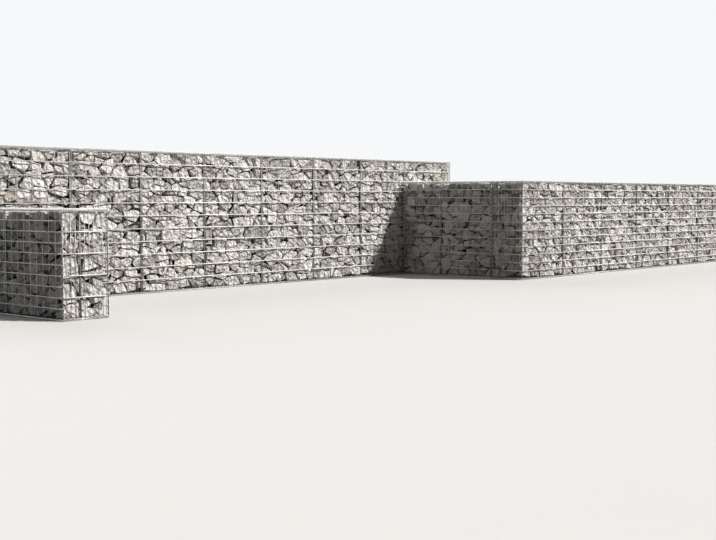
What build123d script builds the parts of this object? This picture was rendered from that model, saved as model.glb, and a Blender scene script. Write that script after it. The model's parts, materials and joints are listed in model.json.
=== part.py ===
"""Terrace wall of gabions: four runs of stone-filled welded wire baskets.

A low side run and a taller return run stand square to a long back run, and a
further run leads off the corner of the return. Each basket's body is one mesh
panel, folded round its front, base, rear and lid. Mesh panels close its ends,
and spiral binders lace every edge.
Millimetres, +Z up, +X along the back run, +Y from the open side to the back.
The origin is at the middle of the base of the whole wall.
"""

from build123d import *
import os

# Wire, shared by every basket
ROW_WIRE = 10.0         # straight wires, outermost on every side
HOOP_WIRE = 5.0         # wires folded round the basket inside them
BINDER = 24.0           # outer size of the spiral binders

# Stone fill
FILL_EDGE = 15.0        # stones leave the basket's edges clear by this much

# Back run
THICKNESS = 525.0
BACK_HEIGHT = 1674.0
BACK_ROWS = 11
BACK_FIRST_BAY = 500.0  # narrow basket behind the side run
BACK_BAY = 975.0
BACK_BAYS = 7
BACK_LAST_BAY = 1110.0

# Side run
SIDE_HEIGHT = 1024.0
SIDE_ROWS = 10
SIDE_END_ROWS = 5
SIDE_BAY = 960.0
SIDE_BAYS = 2

# Return run and the right run round its corner
RETURN_INSET = 655.0    # the back run passes the return by this much
RETURN_HEIGHT = 1356.0
RETURN_ROWS = 12
RETURN_BAYS = (890.0, 675.0)
RIGHT_BAY = 1095.0
RIGHT_BAYS = 6

# Mesh spacing
HOOP_PITCH = 100.0
LONG_PITCH = 100.0      # between lengthwise wires of lids and bases
END_PITCH = 50.0        # between uprights of the end panels

# Depth of each layer under the binders' outer face
HOOP_FACE = BINDER / 2 * (1 + 0.5 ** 0.5)   # a hoop's corner meets the binder's slanted side
ROW_FACE = HOOP_FACE - ROW_WIRE
FILL_FACE = HOOP_FACE + HOOP_WIRE

# Overall size and the places of the runs
BACK_LENGTH = BACK_FIRST_BAY + BACK_BAYS * BACK_BAY + BACK_LAST_BAY
RETURN_PLACE = BACK_LENGTH - RETURN_INSET - THICKNESS
RETURN_LENGTH = sum(RETURN_BAYS)
TOTAL_X = RETURN_PLACE + RIGHT_BAYS * RIGHT_BAY
TOTAL_Y = 2 * THICKNESS + RETURN_LENGTH
LEFT = -TOTAL_X / 2
BACK_FRONT = TOTAL_Y / 2 - THICKNESS


class Run:
    """One straight run of baskets, with its own length, depth and height."""

    def __init__(self, name, corner, bays, height, rows, end_rows=None, along_y=False):
        self.name = name
        self.corner = corner
        self.height = height
        self.rows = rows
        self.end_rows = end_rows or rows
        self.along_y = along_y
        self.joints = [sum(bays[:i]) for i in range(len(bays) + 1)]
        self.length = self.joints[-1]

    def box(self, length, depth, height):
        """A box between two values along each of the run's directions."""
        spans = (depth, length, height) if self.along_y else (length, depth, height)
        size = [high - low for low, high in spans]
        middle = [(high + low) / 2 for low, high in spans]
        place = Pos(self.corner[0] + middle[0], self.corner[1] + middle[1], middle[2])
        return place * Box(*size)

    def clear_spans(self):
        """Length of each basket between its end panels or joint binders."""
        spans = []
        for low, high in zip(self.joints, self.joints[1:]):
            start = FILL_FACE if low == 0 else low + BINDER / 2
            end = self.length - FILL_FACE if high == self.length else high - BINDER / 2
            spans.append((start, end))
        return spans


def spread(low, high, gaps, wire):
    """Low and high edge of each wire of an even set between two edges."""
    step = (high - low - wire) / gaps
    return [(low + step * i, low + step * i + wire) for i in range(gaps + 1)]


def both_sides(low, high, width):
    """The same span at the near and the far side of a width."""
    return (low, high), (width - high, width - low)


def between_binders(size, gaps, wire):
    """Low and high edge of each wire that lies evenly between two edge binders."""
    edge = (BINDER - wire) / 2
    return spread(edge, size - edge, gaps, wire)[1:-1]


def across(pitch, wire):
    """Low and high edge of each wire across the thickness of a run."""
    return between_binders(THICKNESS, round((THICKNESS - BINDER) / pitch), wire)


def stone_fill(run):
    """One block of stone in each basket, clear of the basket's edges."""
    depth = (FILL_FACE, THICKNESS - FILL_FACE)
    height = (FILL_FACE, run.height - FILL_FACE)
    blocks = [run.box(length, depth, height) for length in run.clear_spans()]
    return [chamfer(block.edges(), FILL_EDGE) for block in blocks]


def mesh_hoops(run):
    """Wires folded round the front, base, rear and lid of every basket."""
    hoops = []
    for low, high in run.clear_spans():
        for place in spread(low, high, round((high - low) / HOOP_PITCH), HOOP_WIRE):
            outer, inner = (
                run.box(place, (face, THICKNESS - face), (face, run.height - face))
                for face in (HOOP_FACE, FILL_FACE)
            )
            hoops.append(outer - inner)
    return hoops


def face_rows(run):
    """Horizontal wires of the front and rear faces."""
    length = (BINDER, run.length - BINDER)
    faces = both_sides(ROW_FACE, HOOP_FACE, THICKNESS)
    heights = between_binders(run.height, run.rows, ROW_WIRE)
    return [run.box(length, face, height) for face in faces for height in heights]


def long_wires(run, height):
    """Lengthwise wires of a lid or base, between its end binders."""
    length = (BINDER, run.length - BINDER)
    return [run.box(length, depth, height) for depth in across(LONG_PITCH, ROW_WIRE)]


def lid_wires(run):
    """Lengthwise wires on top of the hoops."""
    return long_wires(run, (run.height - HOOP_FACE, run.height - ROW_FACE))


def base_wires(run):
    """Lengthwise wires under the hoops."""
    return long_wires(run, (ROW_FACE, HOOP_FACE))


def end_rows(run):
    """Horizontal wires of the two end panels."""
    depth = (BINDER, THICKNESS - BINDER)
    ends = both_sides(ROW_FACE, HOOP_FACE, run.length)
    heights = between_binders(run.height, run.end_rows, ROW_WIRE)
    return [run.box(end, depth, height) for end in ends for height in heights]


def panel_uprights(run, lengths, depths):
    """Upright wires of mesh panels across the run, inside base and lid wires."""
    height = (HOOP_FACE, run.height - HOOP_FACE)
    return [run.box(length, depth, height) for length in lengths for depth in depths]


def end_uprights(run):
    """Upright wires of the two end panels."""
    ends = both_sides(HOOP_FACE, FILL_FACE, run.length)
    return panel_uprights(run, ends, across(END_PITCH, HOOP_WIRE))


def partitions(run):
    """Upright wires of the partition at each joint, between its two binders."""
    half = HOOP_WIRE / 2
    lengths = [(joint - half, joint + half) for joint in run.joints[1:-1]]
    return panel_uprights(run, lengths, across(LONG_PITCH, HOOP_WIRE))


def binder(run, length, depth, height, axis):
    """Outer shape of a spiral binder: an eight-sided rod along one axis."""
    rod = run.box(length, depth, height)
    return chamfer(rod.edges().filter_by(axis), BINDER / (2 + 2 ** 0.5))


def upright_binders(run):
    """Spiral binders at the four corners, and on both faces at every joint."""
    corners = both_sides(0, BINDER, run.length)
    height = (BINDER, run.height - BINDER)
    places = [(corner, 0) for corner in corners]
    places += [((joint - BINDER / 2, joint + BINDER / 2), HOOP_FACE) for joint in run.joints[1:-1]]
    return [
        binder(run, length, depth, height, Axis.Z)
        for length, face in places
        for depth in both_sides(face, face + BINDER, THICKNESS)
    ]


def level_binders(run, height):
    """Spiral binders round the four sides of a lid or base."""
    lengthwise, crosswise = (Axis.Y, Axis.X) if run.along_y else (Axis.X, Axis.Y)
    sides = both_sides(0, BINDER, THICKNESS)
    ends = both_sides(0, BINDER, run.length)
    rods = [binder(run, (0, run.length), side, height, lengthwise) for side in sides]
    rods += [binder(run, end, (BINDER, THICKNESS - BINDER), height, crosswise) for end in ends]
    return rods


def lid_binders(run):
    """Spiral binders round the lid."""
    return level_binders(run, (run.height - BINDER, run.height))


def base_binders(run):
    """Spiral binders round the base, which the run stands on."""
    return level_binders(run, (0, BINDER))


RUNS = (
    Run("back", (LEFT, BACK_FRONT), (BACK_FIRST_BAY,) + (BACK_BAY,) * BACK_BAYS + (BACK_LAST_BAY,),
        BACK_HEIGHT, BACK_ROWS),
    Run("side", (LEFT, BACK_FRONT - SIDE_BAYS * SIDE_BAY), (SIDE_BAY,) * SIDE_BAYS,
        SIDE_HEIGHT, SIDE_ROWS, SIDE_END_ROWS, along_y=True),
    Run("return", (LEFT + RETURN_PLACE, BACK_FRONT - RETURN_LENGTH), RETURN_BAYS,
        RETURN_HEIGHT, RETURN_ROWS, along_y=True),
    Run("right", (LEFT + RETURN_PLACE, -TOTAL_Y / 2), (RIGHT_BAY,) * RIGHT_BAYS,
        RETURN_HEIGHT, RETURN_ROWS),
)
PIECES = (
    stone_fill,
    mesh_hoops,
    face_rows,
    lid_wires,
    base_wires,
    end_rows,
    end_uprights,
    partitions,
    upright_binders,
    lid_binders,
    base_binders,
)

os.makedirs("parts", exist_ok=True)
for run in RUNS:
    for piece in PIECES:
        export_step(Compound(children=piece(run)), f"parts/{run.name}_{piece.__name__}.step")
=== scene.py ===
"""Dresses the gabion terrace wall: broken stones, round welded wires and spiral binders.

Every length is in metres. Places and sizes come from the CAD solids of the frame:
each basket's stones fill the block of its basket, each round wire lies in the bar that
stands for it, and each spiral winds inside the rod that stands for it.
"""

import json
import logging
import math
from collections.abc import Iterable, Iterator
from dataclasses import dataclass, field
from enum import Enum

import bmesh
import bpy
import numpy as np
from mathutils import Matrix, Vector, noise
from mathutils.geometry import points_in_planes

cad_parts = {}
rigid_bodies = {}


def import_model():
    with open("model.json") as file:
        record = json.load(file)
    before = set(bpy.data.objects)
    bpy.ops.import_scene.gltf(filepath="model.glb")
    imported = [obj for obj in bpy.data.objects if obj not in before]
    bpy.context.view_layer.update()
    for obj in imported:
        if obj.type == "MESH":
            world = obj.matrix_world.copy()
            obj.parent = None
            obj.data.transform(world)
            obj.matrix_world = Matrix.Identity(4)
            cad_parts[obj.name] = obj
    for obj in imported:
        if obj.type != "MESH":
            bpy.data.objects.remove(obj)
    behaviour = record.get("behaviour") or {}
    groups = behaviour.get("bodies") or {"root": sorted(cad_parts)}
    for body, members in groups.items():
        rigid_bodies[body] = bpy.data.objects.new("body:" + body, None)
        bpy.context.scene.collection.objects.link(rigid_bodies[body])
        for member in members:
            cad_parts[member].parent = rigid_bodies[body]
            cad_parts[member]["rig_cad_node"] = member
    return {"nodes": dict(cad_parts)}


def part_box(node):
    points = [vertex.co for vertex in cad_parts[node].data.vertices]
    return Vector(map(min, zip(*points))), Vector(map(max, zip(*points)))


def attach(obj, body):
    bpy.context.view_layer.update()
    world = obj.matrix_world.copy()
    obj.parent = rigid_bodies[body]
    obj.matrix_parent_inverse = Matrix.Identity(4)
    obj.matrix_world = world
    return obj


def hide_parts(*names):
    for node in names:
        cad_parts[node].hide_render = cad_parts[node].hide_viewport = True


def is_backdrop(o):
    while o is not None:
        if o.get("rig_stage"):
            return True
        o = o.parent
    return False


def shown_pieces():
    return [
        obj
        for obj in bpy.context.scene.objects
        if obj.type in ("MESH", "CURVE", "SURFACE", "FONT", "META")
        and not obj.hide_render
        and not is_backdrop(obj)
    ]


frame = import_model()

log = logging.getLogger("gabion_wall")

RUN_SEEDS = {"back": 11, "side": 113, "return": 211, "right": 311}
BODY = "root"
CLOSE = 1e-6            # points nearer than this are one
LEAST_CORNERS = 4       # fewer corners enclose no stone
TENTHS = 10.0           # tenths of a metre in a metre

Triple = tuple[float, float, float]     # a colour, a place or a direction
Side = tuple[int, int]                  # axis that a basket's side faces along, and which way
Finish = bpy.types.Material
Socket = bpy.types.NodeSocket


class Slot(Enum):
    """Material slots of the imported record."""

    STONE = "stone"
    ROW = "mesh_row_wire"
    UPRIGHT = "mesh_upright_wire"
    BINDER = "binder_wire"


class Lacing(Enum):
    """Edges of a run that spirals lace."""

    CORNERS = "corner"
    JOINTS = "joint"
    LID = "lid"
    BASE = "base"


@dataclass(frozen=True)
class Bar:
    """Box of one CAD solid.

    Args:
        low: Lowest corner.
        high: Highest corner.
    """

    low: Triple
    high: Triple

    @property
    def size(self) -> np.ndarray:
        """Lengths of the three sides."""
        return np.subtract(self.high, self.low)

    @property
    def centre(self) -> np.ndarray:
        """Middle of the box."""
        return np.add(self.low, self.high) / 2

    @property
    def long_axis(self) -> int:
        """Axis along which the box is longest."""
        return int(np.argmax(self.size))

    @property
    def thin_axis(self) -> int:
        """Axis along which the box is thinnest."""
        return int(np.argmin(self.size))

    @property
    def line(self) -> np.ndarray:
        """Finds the box's middle line along its longest side.

        Returns:
            The line's two ends, one row each.
        """
        axis = self.long_axis
        ends = np.array([self.centre, self.centre])
        ends[:, axis] = self.low[axis], self.high[axis]
        return ends


@dataclass(frozen=True)
class Basket(Bar):
    """Block of stones in one basket.

    Args:
        shown: Sides that can be seen.
        random: Source of its random draws.
    """

    shown: tuple[Side, ...]
    random: np.random.Generator

    def depth(self, points: np.ndarray, side: Side) -> np.ndarray:
        """Measures how far points lie behind one side.

        Args:
            points: One point, or one in each row.
            side: The side.

        Returns:
            The distance of each point.
        """
        axis, way = side
        if way > 0:
            return self.high[axis] - points[..., axis]
        return points[..., axis] - self.low[axis]

    def shown_depth(self, points: np.ndarray) -> np.ndarray:
        """Distance of each point from the nearest side that can be seen."""
        return np.min([self.depth(points, side) for side in self.shown], axis=0)

    def inside(self, points: np.ndarray) -> np.ndarray:
        """Points, with those outside the block brought to its surface."""
        return np.clip(points, self.low, self.high)


def solids(node: str) -> list[Bar]:
    """Boxes of the separate solids of a CAD node.

    Args:
        node: Name of the CAD node.

    Returns:
        One box for each solid, in order of place.
    """
    mesh = bmesh.new()
    mesh.from_mesh(frame["nodes"][node].data)
    bmesh.ops.remove_doubles(mesh, verts=mesh.verts, dist=CLOSE)
    left = set(mesh.verts)
    boxes = []
    while left:
        waiting = [left.pop()]
        found = list(waiting)
        while waiting:
            vertex = waiting.pop()
            for link in vertex.link_edges:
                other = link.other_vert(vertex)
                if other in left:
                    left.remove(other)
                    waiting.append(other)
                    found.append(other)
        places = np.array([vertex.co for vertex in found])
        boxes.append(Bar(tuple(places.min(0).round(6)), tuple(places.max(0).round(6))))
    mesh.free()
    return sorted(boxes, key=lambda box: (box.low, box.high))


def rim_rods(node: str) -> list[Bar]:
    """Boxes of the four rods round a lid or base.

    Args:
        node: Name of the CAD node.

    Returns:
        The two long rods, then the two short ones between them.
    """
    low, high = (np.array(corner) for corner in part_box(node))
    rod = high[2] - low[2]
    along = int(np.argmax(high - low))
    across = 1 - along
    rods = []
    for axis, end in ((across, 0.0), (along, rod)):
        for at_high in (False, True):
            first, last = low.copy(), high.copy()
            first[1 - axis] += end
            last[1 - axis] -= end
            first[axis] = high[axis] - rod if at_high else low[axis]
            last[axis] = first[axis] + rod
            rods.append(Bar(tuple(first), tuple(last)))
    return rods


def taken(mesh: bmesh.types.BMesh) -> tuple[np.ndarray, list[tuple[int, ...]]]:
    """Takes the points and faces out of a mesh, and frees it.

    Args:
        mesh: The mesh.

    Returns:
        The points, one row each, and the faces as indices into them.
    """
    mesh.verts.index_update()
    points = np.array([vertex.co for vertex in mesh.verts])
    faces = [tuple(vertex.index for vertex in face.verts) for face in mesh.faces]
    mesh.free()
    return points, faces


def corners_between(planes: list[Vector]) -> np.ndarray:
    """Corners of the shape that planes enclose, one row each."""
    return np.array(points_in_planes(planes, CLOSE, CLOSE)[0])


def put(name: str, data: bpy.types.ID) -> bpy.types.Object:
    """Puts a new object in the scene.

    Args:
        name: Its name.
        data: Its mesh, lamp or lens.

    Returns:
        The object.
    """
    item = bpy.data.objects.new(name, data)
    bpy.context.scene.collection.objects.link(item)
    return item


class Surface:
    """Collects the points and faces of one piece, then makes its object."""

    def __init__(self) -> None:
        """Starts with nothing in the piece."""
        self.points: list[np.ndarray] = []
        self.faces: list[tuple[int, ...]] = []
        self.tones: list[np.ndarray] = []
        self.depths: list[np.ndarray] = []
        self.count = 0

    def add(self, points: np.ndarray, faces: list[tuple[int, ...]], tone: float = 0.0,
            depth: np.ndarray | float = 0.0) -> None:
        """Adds one closed shape.

        Args:
            points: Its points, one row each.
            faces: Its faces, as indices into those points.
            tone: Shade of the shape, from 0 to 1, kept with its points.
            depth: How far each point lies behind the front, kept with the points.
        """
        start = self.count
        self.points.append(points)
        self.faces.extend(tuple(start + i for i in face) for face in faces)
        self.tones.append(np.full(len(points), tone))
        self.depths.append(np.full(len(points), depth))
        self.count += len(points)

    def to_object(self, name: str, material: Finish, smooth: bool) -> bpy.types.Object:
        """Makes the piece.

        Args:
            name: Name of the piece.
            material: Its finish.
            smooth: Whether its faces are shaded as one rounded surface.

        Returns:
            The new object, in the scene.
        """
        mesh = bpy.data.meshes.new(name)
        mesh.from_pydata(np.concatenate(self.points).tolist(), [], self.faces)
        for label, values in (("tone", self.tones), ("depth", self.depths)):
            layer = mesh.attributes.new(label, "FLOAT", "POINT")
            layer.data.foreach_set("value", np.concatenate(values))
        mesh.polygons.foreach_set("use_smooth", [smooth] * len(mesh.polygons))
        mesh.materials.append(material)
        return put(name, mesh)


def place(piece: bpy.types.Object, slot: Slot, *nodes: str) -> None:
    """Puts a piece on the wall's body in the place of CAD nodes.

    Args:
        piece: The new piece.
        slot: Record slot of its finish; not used.
        nodes: CAD nodes it stands for.
    """
    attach(piece, BODY)
    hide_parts(*nodes)
    piece.data.calc_loop_triangles()
    log.info("%s: %d triangles", piece.name, len(piece.data.loop_triangles))


def sweep(surface: Surface, path: np.ndarray, across: np.ndarray, radius: float, sides: int,
          closed: bool = False) -> None:
    """Sweeps a round wire along a path.

    Args:
        surface: Piece that the wire is added to.
        path: Points of the wire's middle line, one row each.
        across: Direction that is never along the path.
        radius: Radius of the wire.
        sides: Sides of its cross-section.
        closed: Whether the path ends where it starts.
    """
    if closed:
        along = np.roll(path, -1, 0) - np.roll(path, 1, 0)
    else:
        along = np.gradient(path, axis=0)
    first = np.cross(along, across)
    first /= np.linalg.norm(first, axis=1, keepdims=True)
    second = np.cross(first, along)
    second /= np.linalg.norm(second, axis=1, keepdims=True)
    turn = np.arange(sides) * 2 * math.pi / sides
    ring = (first[:, None] * np.cos(turn)[None, :, None]
            + second[:, None] * np.sin(turn)[None, :, None])
    points = (path[:, None] + ring * radius).reshape(-1, 3)
    count = len(path)
    faces = []
    for i in range(count if closed else count - 1):
        here = i * sides
        there = (i + 1) % count * sides
        for j in range(sides):
            after = (j + 1) % sides
            faces.append((here + j, here + after, there + after, there + j))
    if not closed:
        faces.append(tuple(range(sides))[::-1])
        faces.append(tuple(range((count - 1) * sides, count * sides)))
    surface.add(points, faces)


def unit(axis: int) -> np.ndarray:
    """Unit vector along an axis."""
    return np.eye(3)[axis]


def run_axis(run: str) -> int:
    """Axis along which a run of baskets lies."""
    low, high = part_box(f"{run}_lid_wires")
    return 0 if high.x - low.x > high.y - low.y else 1


class Shade:
    """A shader value. Sums, differences and products of values add Math nodes."""

    def __init__(self, nodes: "Nodes", socket: Socket) -> None:
        """Wraps a socket of a node tree."""
        self.nodes = nodes
        self.socket = socket

    def __add__(self, other: "Shade | float") -> "Shade":
        """Sum of two values."""
        return self.nodes.calculate("ADD", self, other)

    def __radd__(self, other: float) -> "Shade":
        """Sum of a number and a value."""
        return self.nodes.calculate("ADD", other, self)

    def __sub__(self, other: "Shade | float") -> "Shade":
        """Difference of two values."""
        return self.nodes.calculate("SUBTRACT", self, other)

    def __rsub__(self, other: float) -> "Shade":
        """Difference of a number and a value."""
        return self.nodes.calculate("SUBTRACT", other, self)

    def __mul__(self, other: "Shade | float") -> "Shade":
        """Product of two values."""
        return self.nodes.calculate("MULTIPLY", self, other)

    def __rmul__(self, other: float) -> "Shade":
        """Product of a number and a value."""
        return self.nodes.calculate("MULTIPLY", other, self)


class Nodes:
    """Node tree of one material or world."""

    def __init__(self, tree: bpy.types.NodeTree) -> None:
        """Starts from an empty tree."""
        self.tree = tree
        tree.nodes.clear()

    def add(self, kind: str, settings: dict, sockets: dict) -> bpy.types.Node:
        """Adds a node.

        Args:
            kind: Type of the node.
            settings: Its settings. The stops of a ramp are pairs of place and grey.
            sockets: Values or links of its inputs, by name or number.

        Returns:
            The new node.
        """
        node = self.tree.nodes.new(kind)
        for name, setting in settings.items():
            if name == "stops":
                self._set_stops(node.color_ramp, setting)
            else:
                setattr(node, name, setting)
        for key, entry in sockets.items():
            socket = node.inputs[key]
            if isinstance(entry, Shade):
                entry = entry.socket
            if isinstance(entry, Socket):
                self.tree.links.new(entry, socket)
            elif socket.type == "RGBA":
                socket.default_value = (*entry, 1.0)
            else:
                socket.default_value = entry
        return node

    @staticmethod
    def _set_stops(ramp: bpy.types.ColorRamp, stops: list[tuple[float, float]]) -> None:
        """Gives a ramp its stops.

        Args:
            ramp: Ramp of a node.
            stops: Place and grey of each stop, two at least.
        """
        while len(ramp.elements) < len(stops):
            ramp.elements.new(1.0)
        for element, (at, grey) in zip(ramp.elements, stops):
            element.position = at
            element.color = (grey, grey, grey, 1.0)

    def value(self, kind: str, settings: dict, sockets: dict, output: str | int = 0) -> Shade:
        """Adds a node and gives one of its results, ready for sums and products."""
        return Shade(self, self.add(kind, settings, sockets).outputs[output])

    def calculate(self, operation: str, first: Shade | float, second: Shade | Socket | float) -> Shade:
        """Result of a Math node on two values."""
        return self.value("ShaderNodeMath", {"operation": operation}, {0: first, 1: second})

    def mix(self, factor: Shade | float, first: "Triple | Socket",
            second: "Triple | Socket") -> Socket:
        """Mixes two colours. The factor is the share of the second one."""
        sockets = {"Factor": factor, 6: first, 7: second}
        return self.add("ShaderNodeMix", {"data_type": "RGBA"}, sockets).outputs[2]

    def place(self) -> Socket:
        """Place on the object, in metres."""
        return self.add("ShaderNodeTexCoord", {}, {}).outputs["Object"]

    def attribute(self, name: str) -> Shade:
        """Value kept with each point of the mesh."""
        return self.value("ShaderNodeAttribute", {"attribute_name": name}, {}, "Fac")

    def noise(self, place: Socket, scale: float, detail: float) -> Shade:
        """Cloudy pattern from 0 to 1, with its waves in a metre and its octaves."""
        return self.value("ShaderNodeTexNoise", {}, {"Vector": place, "Scale": scale, "Detail": detail})

    def ramp(self, factor: Shade, *stops: tuple[float, float]) -> Shade:
        """Leads a value through a ramp. Each stop is a place and a result."""
        return self.value("ShaderNodeValToRGB", {"stops": stops}, {"Fac": factor})

    def bump(self, height: Shade, distance: float, strength: float) -> Socket:
        """Normal that follows a height, of which 1 stands for the distance."""
        sockets = {"Height": height, "Distance": distance, "Strength": strength}
        return self.add("ShaderNodeBump", {}, sockets).outputs["Normal"]

    def background_ray(self) -> Shade:
        """Tells rays that show the background from rays that light the object.

        Returns:
            1 for rays that show the background, and 0 for rays that light the object.
        """
        ray = self.add("ShaderNodeLightPath", {}, {}).outputs
        seen = Shade(self, ray["Is Camera Ray"])
        for kind in ("Is Glossy Ray", "Is Transmission Ray"):
            seen = self.calculate("MAXIMUM", seen, ray[kind])
        return seen

    def surface(self, sockets: dict) -> None:
        """Ends the tree in a shader with these values or links of its inputs."""
        shader = self.add("ShaderNodeBsdfPrincipled", {}, sockets)
        self.add("ShaderNodeOutputMaterial", {}, {"Surface": shader.outputs[0]})


def dimmed(colour: Triple, share: float) -> Triple:
    """Colour with only a share of its light."""
    return tuple(part * share for part in colour)


def new_material(name: str) -> tuple[Finish, Nodes]:
    """Makes a material with an empty node tree.

    Args:
        name: Name of the material.

    Returns:
        The material and its nodes.
    """
    material = bpy.data.materials.new(name)
    material.use_nodes = True
    return material, Nodes(material.node_tree)


@dataclass(frozen=True)
class BrokenStone:
    """Pale broken limestone with a tone of its own for each stone, darkened deep in the gaps by painted
    shade.

    Args:
        light: Colour of a light stone.
        dark: Colour of a dark stone.
        warm: Tint of the warm stones.
        dust: Colour of dust and fresh breaks.
        painted_gap_shade: Colour of the painted shade deep in the gaps.
        painted_gap_shade_depth: Depths at which the painted shade starts and is full, in tenths of a metre.
        painted_gap_shade_share: Share of the painted shade's colour where it is full.
        roughness: Roughness of the break.
        gloss: Specular level of the dusty break.
        apart: How far the patterns of the darkest and the palest stone lie apart.
    """

    light: Triple = (0.86, 0.835, 0.80)
    dark: Triple = (0.15, 0.133, 0.115)
    warm: Triple = (0.68, 0.57, 0.48)
    dust: Triple = (0.92, 0.90, 0.875)
    painted_gap_shade: Triple = (0.075, 0.066, 0.058)
    painted_gap_shade_depth: tuple[float, float] = (0.26, 0.60)
    painted_gap_shade_share: float = 0.85
    roughness: float = 0.88
    gloss: float = 0.2
    apart: Triple = (7.0, 5.0, 3.0)

    def material(self) -> Finish:
        """Makes the material.

        Returns:
            The finish of the stones.
        """
        material, nodes = new_material("broken_stone")
        tone = nodes.attribute("tone")
        draw = nodes.value("ShaderNodeTexWhiteNoise", {"noise_dimensions": "1D"}, {"W": tone}, "Value")
        apart = {0: self.apart, "Scale": tone}
        shift = nodes.add("ShaderNodeVectorMath", {"operation": "SCALE"}, apart).outputs[0]
        moved = {0: nodes.place(), 1: shift}
        own = nodes.add("ShaderNodeVectorMath", {"operation": "ADD"}, moved).outputs[0]
        cloud = nodes.noise(own, scale=9.0, detail=3.0)
        fracture = nodes.noise(own, scale=24.0, detail=4.0)
        cells = {"Vector": own, "Scale": 22.0}
        chip = nodes.value("ShaderNodeTexVoronoi", {"feature": "F1"}, cells, "Distance")
        grain = nodes.noise(own, scale=110.0, detail=4.0)
        speck = nodes.noise(own, scale=480.0, detail=2.0)
        shade = nodes.ramp(tone * 0.6 + cloud * 0.6 + fracture * 1.1 - 0.62, (0.06, 0.0), (0.72, 1.0))
        colour = nodes.mix(shade, self.dark, self.light)
        colour = nodes.mix(nodes.ramp(draw, (0.55, 0.0), (1.0, 0.4)), colour, self.warm)
        colour = nodes.mix(nodes.ramp(grain, (0.48, 0.0), (0.70, 0.6)), colour, self.dust)
        colour = nodes.mix(nodes.ramp(speck, (0.3, 0.4), (0.46, 0.0)), colour, self.dark)
        # Painted shade: stone points deeper behind the seen sides take the dark colour, so the gaps between
        # the stones look shaded.
        start, full = self.painted_gap_shade_depth
        deep = nodes.ramp(nodes.attribute("depth") * TENTHS, (start, 0.0), (full, self.painted_gap_shade_share))
        colour = nodes.mix(deep, colour, self.painted_gap_shade)
        height = cloud * 0.2 + chip * 0.5 + fracture * 0.5 + grain * 0.06 + speck * 0.012
        nodes.surface({
            "Base Color": colour,
            "Roughness": self.roughness,
            "Specular IOR Level": self.gloss,
            "Normal": nodes.bump(height, distance=0.05, strength=1.0),
        })
        return material


@dataclass(frozen=True)
class PaintedShadeCore:
    """Near-black mass deep between the stones, standing for the inner stones; its dark colour is painted
    shade in the gaps.

    Args:
        colour: Colour of the paler lumps.
        darker: Share of that colour in the darker lumps.
        roughness: Roughness of the mass.
        gloss: Specular level of the mass.
    """

    colour: Triple = (0.06, 0.052, 0.046)
    darker: float = 0.4
    roughness: float = 0.95
    gloss: float = 0.2

    def material(self) -> Finish:
        """Makes the material.

        Returns:
            The finish of what lies behind the stones.
        """
        material, nodes = new_material("deep_painted_shade")
        # Painted shade: the near-black colour makes the gaps between the stones look deep in shadow.
        lumps = nodes.noise(nodes.place(), scale=24.0, detail=4.0)
        nodes.surface({
            "Base Color": nodes.mix(lumps, dimmed(self.colour, self.darker), self.colour),
            "Roughness": self.roughness,
            "Specular IOR Level": self.gloss,
            "Normal": nodes.bump(lumps, distance=0.03, strength=1.0),
        })
        return material


@dataclass(frozen=True)
class Zinc:
    """Weathered zinc coat of steel wire.

    Args:
        name: Wires that it is for.
        colour: Colour of the bright coat.
        dull: Colour where the coat has weathered.
        metal: How metallic it looks.
        roughness: Roughness of the bright coat.
        wear: How much rougher the weathered coat is.
    """

    name: str
    colour: Triple
    dull: Triple
    metal: float
    roughness: float
    wear: float = 0.2

    def material(self) -> Finish:
        """Makes the material.

        Returns:
            The finish of the wires.
        """
        material, nodes = new_material(f"{self.name}_zinc")
        whole = nodes.place()
        cloud = nodes.noise(whole, scale=6.0, detail=4.0)
        flake = nodes.noise(whole, scale=160.0, detail=3.0)
        worn = nodes.ramp(cloud * 0.7 + flake * 0.3, (0.42, 0.0), (0.62, 1.0))
        nodes.surface({
            "Base Color": nodes.mix(worn, self.colour, self.dull),
            "Metallic": self.metal,
            "Roughness": worn * self.wear + self.roughness,
            "Normal": nodes.bump(flake, distance=0.0006, strength=0.6),
        })
        return material


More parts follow.
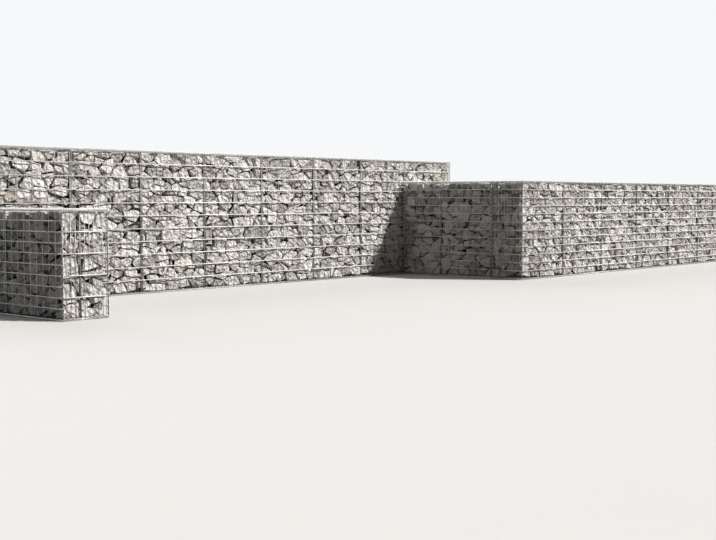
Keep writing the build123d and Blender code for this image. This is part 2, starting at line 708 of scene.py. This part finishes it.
@dataclass
class StoneFill:
    """Stones of one run, basket by basket.

    Args:
        run: Name of the run.
        seed: Start of its random draws.
        stone: Usual length, depth and height of a stone.
        bond: How far each second layer moves along the run, in stones.
        shuffle: How far a stone's middle strays from an even grid, in stones.
        dropped: Share of the grid's stones left out, so that others are larger.
        chips: Share of small stones added.
        margin: Least distance of a stone's middle from its basket's sides.
        reach: Stones whose middle lies deeper than this are left out.
        neighbours: Number of stones round one that may bound it.
        least: Least distance of a stone's side from its middle.
        gap: Least and largest half width of the gap between two stones.
        tilt: How far a side of a stone may lean.
        face_inset: How far a stone's front may lie behind its basket's mesh.
        face_tilt: How far a stone's front may lean.
        edge_reach: Stones this near to two sides fill the basket's edge.
        edge_calm: Shares of that inset and lean which those stones keep.
        rim_reach: Stones this near to a front and the lid together lie at the rim.
        rim_clear: How far below the lid a stone's front edge starts to lean back.
        front_depth: Stones nearer to a side than this have corners broken off there.
        kept_depth: Stones that lie wholly deeper than this are left out.
        cuts: Number of broken corners round a front.
        cut_turn: How far each strays from its even place round the front.
        cut_angle: Least and largest slope of those corners.
        cut_place: Least and largest place of those corners, as a share of the stone's reach.
        weld: Corners nearer than this become one.
        flat: Faces that turn by fewer degrees than this are joined.
        rounding: Least and largest width of a worn edge.
        sharp: Edges that turn by more than this are worn.
        fine_face: Front faces larger than this get a point in the middle.
        fine_edge: Edges of the front longer than this are divided.
        waves: Waves in a metre of the coarse and the fine unevenness.
        fine_share: Height of the fine unevenness against the coarse.
        hollow: How far the uneven break lies inward on the whole.
        roughness: Depth of the uneven break.
        shown_depth: Depth to which the stones are broken in detail.
        core_depth: Depth of the mass behind the stones.
        core_joint: Gap between that mass and the hidden sides of its basket.
        core_cuts: Number of cuts across each of its sides.
        core_waves: Waves in a metre of its lumps.
        core_lump: Height of its lumps.
        baskets: Blocks of the run's baskets.
        along: Axis along which the run lies.
        usual: Usual size of a stone along the three axes.
    """

    run: str
    seed: int
    stone: Triple = (0.150, 0.135, 0.104)
    bond: float = 0.25
    shuffle: float = 0.47
    dropped: float = 0.22
    chips: float = 0.40
    margin: float = 0.012
    reach: float = 0.165
    neighbours: int = 16
    least: float = 0.008
    gap: tuple[float, float] = (0.001, 0.008)
    tilt: float = 0.18
    face_inset: float = 0.020
    face_tilt: float = 0.24
    edge_reach: float = 0.070
    edge_calm: tuple[float, float] = (0.3, 0.4)
    rim_reach: float = 0.30
    rim_clear: float = 0.015
    front_depth: float = 0.040
    kept_depth: float = 0.044
    cuts: int = 3
    cut_turn: float = 0.35
    cut_angle: tuple[float, float] = (0.5, 1.15)
    cut_place: tuple[float, float] = (0.55, 1.0)
    weld: float = 0.010
    flat: float = 7.0
    rounding: tuple[float, float] = (0.0015, 0.0040)
    sharp: float = 0.5
    fine_face: float = 4e-4
    fine_edge: float = 0.045
    waves: tuple[float, float] = (22.0, 55.0)
    fine_share: float = 0.6
    hollow: float = 0.3
    roughness: float = 0.005
    shown_depth: float = 0.050
    core_depth: float = 0.085
    core_joint: float = 0.004
    core_cuts: int = 7
    core_waves: float = 9.0
    core_lump: float = 0.02
    baskets: list[Bar] = field(init=False)
    along: int = field(init=False)
    usual: np.ndarray = field(init=False)

    def __post_init__(self) -> None:
        """Finds the run's baskets and turns the stones' sizes to the run's direction."""
        self.baskets = solids(f"{self.run}_stone_fill")
        self.along = run_axis(self.run)
        length, depth, height = self.stone
        self.usual = np.array((depth, length, height) if self.along else self.stone)

    def build(self, stone: Finish, painted_shade_core: Finish) -> None:
        """Fills every basket of the run.

        Args:
            stone: Finish of the stones.
            painted_shade_core: Finish of the dark mass that shows between them, a painted shade.
        """
        node = f"{self.run}_stone_fill"
        core = Surface()
        for number, block in enumerate(self.baskets):
            random = np.random.default_rng(self.seed + number)
            basket = Basket(block.low, block.high, self._shown_sides(number), random)
            stones = Surface()
            for planes, centre in self._cells(basket):
                self._add_stone(stones, planes, centre, basket)
            piece = stones.to_object(f"{self.run}_stones_{number + 1}", stone, False)
            place(piece, Slot.STONE, node)
            self._add_core(core, basket)
        # The dark mass behind the stones is painted shade for the gaps.
        place(core.to_object(f"{self.run}_deep_painted_shade", painted_shade_core, False), Slot.STONE, node)

    def _shown_sides(self, number: int) -> tuple[Side, ...]:
        """Lists the sides of a basket that can be seen.

        Args:
            number: Place of the basket in the run.

        Returns:
            The sides.
        """
        sides = [(axis, way) for axis in (1 - self.along, 2) for way in (-1, 1)]
        if number == 0:
            sides.append((self.along, -1))
        if number == len(self.baskets) - 1:
            sides.append((self.along, 1))
        return tuple(sides)

    def _seeds(self, basket: Basket) -> np.ndarray:
        """Scatters the middles of the stones of a basket.

        Args:
            basket: The basket.

        Returns:
            One row for each stone.
        """
        random = basket.random
        counts = np.maximum(np.round(basket.size / self.usual), 2).astype(int)
        step = basket.size / counts
        grid = np.stack(np.meshgrid(*map(np.arange, counts), indexing="ij"), -1).reshape(-1, 3)
        seeds = grid + 0.5
        seeds[:, self.along] += np.where(grid[:, 2] % 2, self.bond, -self.bond)
        seeds += random.uniform(-self.shuffle, self.shuffle, seeds.shape)
        seeds = seeds[random.random(len(seeds)) > self.dropped]
        extra = random.uniform(0, 1, (round(len(seeds) * self.chips), 3)) * counts
        seeds = np.concatenate([seeds, extra]) * step
        return np.clip(seeds, self.margin, basket.size - self.margin) + basket.low

    def _cells(self, basket: Basket) -> Iterator[tuple[list[Vector], np.ndarray]]:
        """Finds the planes that bound each stone that can be seen.

        Args:
            basket: The basket.

        Yields:
            The planes round the stone's middle, and that middle.
        """
        seeds = self._seeds(basket)
        weight = 1 / self.usual
        for seed in seeds:
            if basket.shown_depth(seed) >= self.reach:
                continue
            offset = seeds - seed
            apart = np.linalg.norm(offset * weight, axis=1)
            order = np.argsort(apart)[1:self.neighbours + 1]
            planes = []
            for other in offset[order]:
                normal = other * weight ** 2
                normal /= np.linalg.norm(normal)
                foot = normal * float(normal @ other) / 2
                planes.append(self._joint_plane(basket, normal, foot))
            for axis in range(3):
                for way in (-1, 1):
                    planes.append(self._side_plane(basket, seed, (axis, way)))
            yield planes + self._rim_planes(basket, seed), seed

    def _rim_planes(self, basket: Basket, seed: np.ndarray) -> list[Vector]:
        """Finds the planes that keep a stone clear of the rim of its basket's lid.

        Args:
            basket: The basket.
            seed: Middle of the stone.

        Returns:
            A slanted plane for each upright side near the stone.
        """
        planes = []
        below = basket.depth(seed, (2, 1))
        for axis, way in basket.shown:
            both = below + basket.depth(seed, (axis, way))
            if axis == 2 or both > self.rim_reach:
                continue
            normal = (unit(axis) * way + unit(2)) / math.sqrt(2)
            distance = max((both - self.rim_clear) / math.sqrt(2), self.least)
            planes.append(Vector((*normal, -distance)))
        return planes

    def _joint_plane(self, basket: Basket, normal: np.ndarray, foot: np.ndarray) -> Vector:
        """Tilts the plane between two stones and moves it in, at random.

        Args:
            basket: The basket.
            normal: Direction of the plane away from the stone.
            foot: Point that it passes through.

        Returns:
            The plane as a four-part vector.
        """
        turned = normal + basket.random.uniform(-self.tilt, self.tilt, 3)
        turned /= np.linalg.norm(turned)
        distance = float(turned @ foot) - basket.random.uniform(*self.gap)
        return Vector((*turned, -max(distance, self.least)))

    def _side_plane(self, basket: Basket, seed: np.ndarray, side: Side) -> Vector:
        """Finds the plane of a stone on one side of its basket.

        Args:
            basket: The basket.
            seed: Middle of the stone.
            side: The side.

        Returns:
            The plane as a four-part vector.
        """
        axis, way = side
        depth = basket.depth(seed, side)
        normal = unit(axis) * way
        if side not in basket.shown:
            return Vector((*normal, -depth))
        at_edge = sum(basket.depth(seed, other) < self.edge_reach for other in basket.shown) > 1
        inset, lean = self.edge_calm if at_edge else (1.0, 1.0)
        depth = max(depth - basket.random.uniform(0, self.face_inset) * inset, self.least)
        turned = normal + basket.random.uniform(-self.face_tilt, self.face_tilt, 3) * lean
        turned /= np.linalg.norm(turned)
        return Vector((*turned, -depth * float(turned @ normal)))

    def _cuts(self, corners: np.ndarray, basket: Basket, centre: np.ndarray,
              side: Side) -> list[Vector]:
        """Finds the planes that break off corners round one front of a stone.

        Args:
            corners: Corners of the whole stone, from its middle.
            basket: The basket.
            centre: The stone's middle.
            side: The front's side of the basket.

        Returns:
            The planes as four-part vectors.
        """
        axis, way = side
        normal = unit(axis) * way
        first, second = unit((axis + 1) % 3), unit((axis + 2) % 3)
        depth = basket.depth(centre, side) - self.face_inset / 2
        random = basket.random
        start = random.uniform(0, 2 * math.pi)
        planes = []
        for number in range(self.cuts):
            turn = start + (number + random.uniform(-self.cut_turn, self.cut_turn)) * 2 * math.pi / self.cuts
            sideways = first * math.cos(turn) + second * math.sin(turn)
            reach = float((corners @ sideways).max())
            edge = centre + sideways * reach
            others = (other for other in basket.shown if other != side)
            if any(basket.depth(edge, other) < self.edge_reach / 2 for other in others):
                continue
            angle = random.uniform(*self.cut_angle)
            cut = normal * math.cos(angle) + sideways * math.sin(angle)
            spot = normal * depth + sideways * reach * random.uniform(*self.cut_place)
            planes.append(Vector((*cut, -float(cut @ spot))))
        return planes

    def _add_stone(self, surface: Surface, planes: list[Vector], centre: np.ndarray,
                   basket: Basket) -> None:
        """Adds the stone inside a set of planes.

        Args:
            surface: Piece that the stone is added to.
            planes: The planes, round the stone's middle.
            centre: The stone's middle.
            basket: The basket, in whose block the stone stays.
        """
        corners = corners_between(planes)
        if len(corners) < LEAST_CORNERS:
            return
        for side in basket.shown:
            if basket.depth(corners + centre, side).min() < self.front_depth:
                planes = planes + self._cuts(corners, basket, centre, side)
        corners = corners_between(planes)
        if len(corners) < LEAST_CORNERS:
            return
        corners = basket.inside(corners + centre)
        if basket.shown_depth(corners).min() > self.kept_depth:
            return
        mesh = bmesh.new()
        for corner in corners:
            mesh.verts.new(corner)
        bmesh.ops.remove_doubles(mesh, verts=mesh.verts, dist=self.weld)
        if len(mesh.verts) < LEAST_CORNERS:
            mesh.free()
            return
        hull = bmesh.ops.convex_hull(mesh, input=mesh.verts)
        spare = [item for item in hull["geom_interior"] if isinstance(item, bmesh.types.BMVert)]
        bmesh.ops.delete(mesh, geom=spare, context="VERTS")
        bmesh.ops.dissolve_limit(mesh, angle_limit=math.radians(self.flat), verts=mesh.verts,
                                 edges=mesh.edges)
        self._break_front(mesh, basket)
        points, faces = taken(mesh)
        points = basket.inside(points)
        surface.add(points, faces, float(basket.random.random()), basket.shown_depth(points))

    def _break_front(self, mesh: bmesh.types.BMesh, basket: Basket) -> None:
        """Wears the edges of a stone's front and breaks its faces unevenly.

        Args:
            mesh: The stone.
            basket: The basket.
        """
        middles = np.array([(edge.verts[0].co + edge.verts[1].co) / 2 for edge in mesh.edges])
        near = basket.shown_depth(middles) < self.shown_depth
        edges = [edge for edge, front in zip(mesh.edges, near)
                 if front and edge.calc_face_angle(0.0) > self.sharp]
        bmesh.ops.bevel(mesh, geom=edges, offset=basket.random.uniform(*self.rounding), segments=1,
                        profile=0.5, affect="EDGES", clamp_overlap=True)
        front = self._front_faces(mesh, basket)
        bmesh.ops.poke(mesh, faces=[face for face in front if face.calc_area() > self.fine_face])
        edges = {edge for face in self._front_faces(mesh, basket) for edge in face.edges}
        long = [edge for edge in edges if edge.calc_length() > self.fine_edge]
        bmesh.ops.subdivide_edges(mesh, edges=sorted(long, key=lambda edge: edge.index), cuts=1)
        bmesh.ops.triangulate(mesh, faces=mesh.faces)
        mesh.normal_update()
        coarse, fine = self.waves
        for vertex in mesh.verts:
            swing = noise.noise(vertex.co * coarse) + self.fine_share * noise.noise(vertex.co * fine)
            vertex.co += vertex.normal * (swing - self.hollow) * self.roughness

    def _front_faces(self, mesh: bmesh.types.BMesh, basket: Basket) -> list[bmesh.types.BMFace]:
        """Lists the faces of a stone that can be seen.

        Args:
            mesh: The stone.
            basket: The basket.

        Returns:
            The faces near a side that can be seen.
        """
        mesh.faces.index_update()
        mesh.edges.index_update()
        middles = np.array([face.calc_center_median() for face in mesh.faces])
        near = basket.shown_depth(middles) < self.shown_depth
        return [face for face, front in zip(mesh.faces, near) if front]

    def _add_core(self, surface: Surface, basket: Basket) -> None:
        """Adds the uneven mass behind the stones of a basket.

        Args:
            surface: Piece that it is added to.
            basket: The basket.
        """
        inset = np.array([[self.core_depth if (axis, way) in basket.shown else self.core_joint
                           for axis in range(3)] for way in (-1, 1)])
        low = np.array(basket.low) + inset[0]
        high = np.array(basket.high) - inset[1]
        mesh = bmesh.new()
        bmesh.ops.create_cube(mesh, size=1.0)
        bmesh.ops.subdivide_edges(mesh, edges=mesh.edges, cuts=self.core_cuts, use_grid_fill=True)
        middle = Vector((low + high) / 2)
        size = Vector(high - low)
        for vertex in mesh.verts:
            spot = Vector(a * b for a, b in zip(vertex.co, size)) + middle
            lump = noise.noise(spot * self.core_waves) * self.core_lump
            pull = (middle - spot).normalized()
            vertex.co = spot + pull * (self.core_lump + lump)
        surface.add(*taken(mesh))


@dataclass
class StraightWires:
    """Round wires in place of the straight bars of CAD nodes.

    Args:
        run: Name of the run.
        part: Piece of the run that they stand for.
        slot: Record slot of their finish.
        sides: Sides of a wire's cross-section.
    """

    run: str
    part: str
    slot: Slot
    sides: int = 8

    def build(self, finish: Finish) -> None:
        """Makes the wires.

        Args:
            finish: Finish of the wires.
        """
        node = f"{self.run}_{self.part}"
        surface = Surface()
        for bar in solids(node):
            across = unit((bar.long_axis + 1) % 3)
            sweep(surface, bar.line, across, bar.size[bar.thin_axis] / 2, self.sides)
        place(surface.to_object(f"{node}_round", finish, True), self.slot, node)


@dataclass
class FoldedHoops:
    """Round wires folded about each basket.

    Args:
        run: Name of the run.
        fold: Radius of a fold, to the wire's middle line.
        fold_steps: Straight pieces in a fold.
        sides: Sides of a wire's cross-section.
    """

    run: str
    fold: float = 0.010
    fold_steps: int = 3
    sides: int = 6

    def build(self, finish: Finish) -> None:
        """Makes the hoops.

        Args:
            finish: Finish of the wires.
        """
        node = f"{self.run}_mesh_hoops"
        surface = Surface()
        for bar in solids(node):
            thin = bar.thin_axis
            radius = bar.size[thin] / 2
            first, second = [axis for axis in range(3) if axis != thin]
            half = bar.size / 2 - radius - self.fold
            path = []
            for corner, (one, two) in enumerate(((1, 1), (-1, 1), (-1, -1), (1, -1))):
                for step in range(self.fold_steps + 1):
                    turn = (corner + step / self.fold_steps) * math.pi / 2
                    spot = bar.centre.copy()
                    spot[first] += one * half[first] + math.cos(turn) * self.fold
                    spot[second] += two * half[second] + math.sin(turn) * self.fold
                    path.append(spot)
            sweep(surface, np.array(path), unit(thin), radius, self.sides, closed=True)
        place(surface.to_object(f"{node}_round", finish, True), Slot.UPRIGHT, node)


@dataclass
class SpiralBinders:
    """Spirals that lace two panels together, round the panels' edge wires.

    Args:
        run: Name of the run.
        lacing: Edges that they lace.
        wire: Thickness of a spiral's wire.
        edge_wire: Thickness of each panel's edge wire.
        pitch: Length of one turn.
        steps: Points in one turn.
        sides: Sides of the spiral wire's cross-section.
        edge_sides: Sides of an edge wire's cross-section.
    """

    run: str
    lacing: Lacing
    wire: float = 0.0055
    edge_wire: float = 0.0062
    pitch: float = 0.050
    steps: int = 8
    sides: int = 4
    edge_sides: int = 8

    def build(self, finish: Finish, edge_finish: Finish) -> None:
        """Makes the spirals and the edge wires inside them.

        Args:
            finish: Finish of the spirals.
            edge_finish: Finish of the edge wires.
        """
        spirals = Surface()
        edges = Surface()
        for rod in self._rods():
            self._add_spiral(spirals, rod)
            self._add_edges(edges, rod)
        name = f"{self.run}_{self.lacing.value}"
        place(spirals.to_object(f"{name}_spirals", finish, True), Slot.BINDER, self._node)
        place(edges.to_object(f"{name}_edge_wires", edge_finish, True), Slot.BINDER, self._node)

    @property
    def _node(self) -> str:
        """Name of the CAD node that the spirals stand for."""
        upright = self.lacing in (Lacing.CORNERS, Lacing.JOINTS)
        return f"{self.run}_upright_binders" if upright else f"{self.run}_{self.lacing.value}_binders"

    def _rods(self) -> list[Bar]:
        """Finds the rods that the spirals wind in.

        Returns:
            Boxes of the rods.
        """
        if self.lacing in (Lacing.LID, Lacing.BASE):
            return rim_rods(self._node)
        low, high = (np.array(corner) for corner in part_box(self._node))
        rods = []
        for rod in solids(self._node):
            apart = np.minimum(np.abs(rod.low - low), np.abs(rod.high - high))
            at_corner = bool((apart[:2] < rod.size[:2] / 2).all())
            if at_corner == (self.lacing is Lacing.CORNERS):
                rods.append(rod)
        return rods

    def _add_spiral(self, surface: Surface, rod: Bar) -> None:
        """Winds one spiral inside a rod.

        Args:
            surface: Piece that it is added to.
            rod: Box of the rod.
        """
        axis = rod.long_axis
        first, second = (axis + 1) % 3, (axis + 2) % 3
        radius = (rod.size[first] - self.wire) / 2
        length = rod.size[axis] - self.wire
        count = max(round(length / self.pitch * self.steps), self.steps)
        at = np.linspace(0, length, count + 1)
        turn = at / self.pitch * 2 * math.pi
        path = np.tile(rod.centre, (count + 1, 1))
        path[:, axis] = rod.low[axis] + self.wire / 2 + at
        path[:, first] += np.cos(turn) * radius
        path[:, second] += np.sin(turn) * radius
        sweep(surface, path, unit(axis), self.wire / 2, self.sides)

    def _add_edges(self, surface: Surface, rod: Bar) -> None:
        """Lays the two panels' edge wires along a rod.

        Args:
            surface: Piece that they are added to.
            rod: Box of the rod.
        """
        side = run_axis(self.run) if rod.long_axis == 2 else 1 - rod.long_axis
        reach = max(rod.size[side] - 2 * self.wire - self.edge_wire, self.edge_wire) / 2
        apart = unit(2) if self.lacing is Lacing.LID else unit(side)
        if self.lacing is Lacing.BASE:
            low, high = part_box(self._node)
            outer = rod.centre[side] > (low[side] + high[side]) / 2
            apart = (apart * (1 if outer else -1) - unit(2)) / math.sqrt(2)
        for way in (-1, 1):
            line = rod.line + apart * way * reach
            sweep(surface, line, unit(side), self.edge_wire / 2, self.edge_sides)


@dataclass
class EndSeam:
    """Dark close pair of wires beside one upright of a run's front end.

    Args:
        run: Name of the run.
        number: Place of that upright in its panel.
        wire: Thickness of the pair's wires.
        sides: Sides of a wire's cross-section.
    """

    run: str
    number: int
    wire: float = 0.006
    sides: int = 6

    def build(self, finish: Finish) -> None:
        """Makes the pair.

        Args:
            finish: Finish of the wires.
        """
        node = f"{self.run}_end_uprights"
        along = run_axis(self.run)
        across = 1 - along
        bars = solids(node)
        front = min(bar.low[along] for bar in bars)
        panel = sorted((bar for bar in bars if bar.low[along] == front), key=lambda bar: bar.low[across])
        bar = panel[self.number]
        beside = unit(across) * (bar.size[across] + self.wire) / 2
        surface = Surface()
        for way in (-1, 1):
            sweep(surface, bar.line + beside * way, unit(along), self.wire / 2, self.sides)
        place(surface.to_object(f"{self.run}_end_seam", finish, True), Slot.UPRIGHT, node)


@dataclass
class GabionRun:
    """One straight run of baskets.

    Args:
        name: Name of the run.
        seed: Start of its random draws.
    """

    name: str
    seed: int

    def build(self, finishes: dict[str, Finish]) -> None:
        """Makes and dresses all pieces of the run.

        Args:
            finishes: Finishes by name.
        """
        StoneFill(self.name, self.seed).build(finishes["stone"], finishes["painted_shade_core"])
        for part in ("face_rows", "lid_wires", "base_wires", "end_rows"):
            StraightWires(self.name, part, Slot.ROW).build(finishes["row"])
        for part in ("end_uprights", "partitions"):
            StraightWires(self.name, part, Slot.UPRIGHT, sides=6).build(finishes["upright"])
        FoldedHoops(self.name).build(finishes["upright"])
        # Edge wires reuse the zinc copies; the lid's take the near-white row copy, a painted highlight along
        # the lid's rim.
        for lacing, spiral, edge, sizes in (
            (Lacing.CORNERS, "binder", "joint", {"pitch": 0.055}),
            (Lacing.JOINTS, "joint", "joint", {"wire": 0.004, "edge_wire": 0.007}),
            (Lacing.LID, "binder", "row", {"wire": 0.005, "edge_wire": 0.0095, "pitch": 0.018, "steps": 6}),
            (Lacing.BASE, "binder", "upright", {"steps": 6, "sides": 3}),
        ):
            SpiralBinders(self.name, lacing, **sizes).build(finishes[spiral], finishes[edge])


@dataclass(frozen=True)
class Lamp:
    """A far lamp, which lights the whole object from one direction.

    Args:
        name: Name of the lamp.
        strength: Its strength.
        towards: Direction from the object towards it.
        wide: Angle in degrees that it seems to be wide.
        colour: Colour of its light.
    """

    name: str
    strength: float
    towards: Triple
    wide: float
    colour: Triple

    def build(self) -> None:
        """Hangs the lamp."""
        lamp = bpy.data.lights.new(self.name, "SUN")
        lamp.energy = self.strength
        lamp.angle = math.radians(self.wide)
        lamp.color = self.colour
        holder = put(self.name, lamp)
        holder.rotation_euler = Vector(self.towards).to_track_quat("Z", "Y").to_euler()


@dataclass(frozen=True)
class Studio:
    """Floor, light and camera.

    Args:
        floor_radius: Radius of the floor.
        floor_sides: Number of sides of its rim.
        floor_colour: Colour of the floor.
        floor_dark: Share of that colour in its darker patches.
        floor_roughness: Roughness of the floor.
        bounce_colour: Colour of the light that the floor throws back on the object.
        back_colour: Colour behind the object.
        fill: Strength of the light from all round.
        lamps: The lamps.
        eye: Place of the camera.
        yaw: Degrees that it looks to the right of the depth axis.
        pitch: Degrees that it looks down.
        lens: Its focal length in millimetres.
    """

    floor_radius: float = 90.0
    floor_sides: int = 96
    floor_colour: Triple = (0.68, 0.67, 0.655)
    floor_dark: float = 0.985
    floor_roughness: float = 0.9
    bounce_colour: Triple = (0.07, 0.069, 0.066)
    back_colour: Triple = (0.93, 0.94, 0.95)
    fill: float = 0.112
    lamps: tuple[Lamp, ...] = (
        Lamp("main_lamp", 4.5, towards=(0.62, -1.0, 1.05), wide=3.0, colour=(1.0, 0.98, 0.955)),
        Lamp("rear_lamp", 1.6, towards=(0.50, 1.0, 0.40), wide=60.0, colour=(0.97, 0.985, 1.0)),
    )
    eye: Triple = (-13.1044, -10.0773, 1.1237)
    yaw: float = 48.8945
    pitch: float = 3.5339
    lens: float = 58.965

    def build(self) -> None:
        """Makes the floor, the light and the camera."""
        self._floor()
        self._world()
        for lamp in self.lamps:
            lamp.build()
        self._camera()

    def _floor(self) -> None:
        """Lays a round pale floor."""
        material, nodes = new_material("studio_floor")
        cloud = nodes.noise(nodes.place(), scale=1.5, detail=3.0)
        seen = nodes.mix(cloud, self.floor_colour, dimmed(self.floor_colour, self.floor_dark))
        colour = nodes.mix(nodes.background_ray(), self.bounce_colour, seen)
        nodes.surface({"Base Color": colour, "Roughness": self.floor_roughness})
        mesh = bmesh.new()
        bmesh.ops.create_circle(mesh, cap_ends=True, segments=self.floor_sides, radius=self.floor_radius)
        data = bpy.data.meshes.new("studio_floor")
        mesh.to_mesh(data)
        mesh.free()
        data.materials.append(material)
        floor = put("studio_floor", data)
        floor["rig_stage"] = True

    def _world(self) -> None:
        """Sets the light from all round and what shows behind the object."""
        world = bpy.data.worlds.new("studio")
        world.use_nodes = True
        bpy.context.scene.world = world
        nodes = Nodes(world.node_tree)
        light = nodes.add("ShaderNodeBackground", {}, {"Color": (1.0, 1.0, 1.0), "Strength": self.fill})
        back = nodes.add("ShaderNodeBackground", {}, {"Color": self.back_colour, "Strength": 1.0})
        shaders = {0: nodes.background_ray(), 1: light.outputs[0], 2: back.outputs[0]}
        mixed = nodes.add("ShaderNodeMixShader", {}, shaders)
        nodes.add("ShaderNodeOutputWorld", {}, {"Surface": mixed.outputs[0]})

    def _camera(self) -> None:
        """Places the camera where the photograph was taken from."""
        lens = bpy.data.cameras.new("camera")
        lens.lens = self.lens
        lens.sensor_width = 36.0
        lens.clip_end = 400.0
        camera = put("camera", lens)
        camera.location = self.eye
        camera.rotation_euler = (math.radians(90 - self.pitch), 0.0, math.radians(-self.yaw))
        bpy.context.scene.camera = camera


def main() -> None:
    """Builds the wall and its stage, and logs the triangles of the added pieces."""
    logging.basicConfig(level=logging.INFO, format="%(message)s")
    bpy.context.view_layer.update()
    zincs = (
        # One galvanised wire in lighter and darker copies. Row and binder: pale zinc raised to near white, a
        # painted highlight. Upright and joint: darker, painted shade for the shadows beside the uprights and
        # in the joint gaps.
        Zinc("row", (0.95, 0.95, 0.94), (0.86, 0.86, 0.85), metal=0.12, roughness=0.35),
        Zinc("upright", (0.45, 0.45, 0.44), (0.33, 0.33, 0.325), metal=0.9, roughness=0.40),
        Zinc("joint", (0.24, 0.24, 0.235), (0.17, 0.17, 0.165), metal=0.9, roughness=0.45),
        Zinc("seam", (0.13, 0.13, 0.125), (0.07, 0.07, 0.07), metal=0.2, roughness=0.60),
        Zinc("binder", (0.95, 0.95, 0.94), (0.84, 0.84, 0.83), metal=0.12, roughness=0.35),
    )
    finishes = {"stone": BrokenStone().material(), "painted_shade_core": PaintedShadeCore().material()}
    finishes |= {zinc.name: zinc.material() for zinc in zincs}
    for name, seed in RUN_SEEDS.items():
        GabionRun(name, seed).build(finishes)
    EndSeam("side", 3).build(finishes["seam"])
    Studio().build()
    bpy.context.scene.view_settings.view_transform = "Standard"
    added = [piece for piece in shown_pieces() if "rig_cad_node" not in piece]
    log.info("all added pieces: %d triangles", sum(len(piece.data.loop_triangles) for piece in added))


if __name__ == "__main__":
    main()
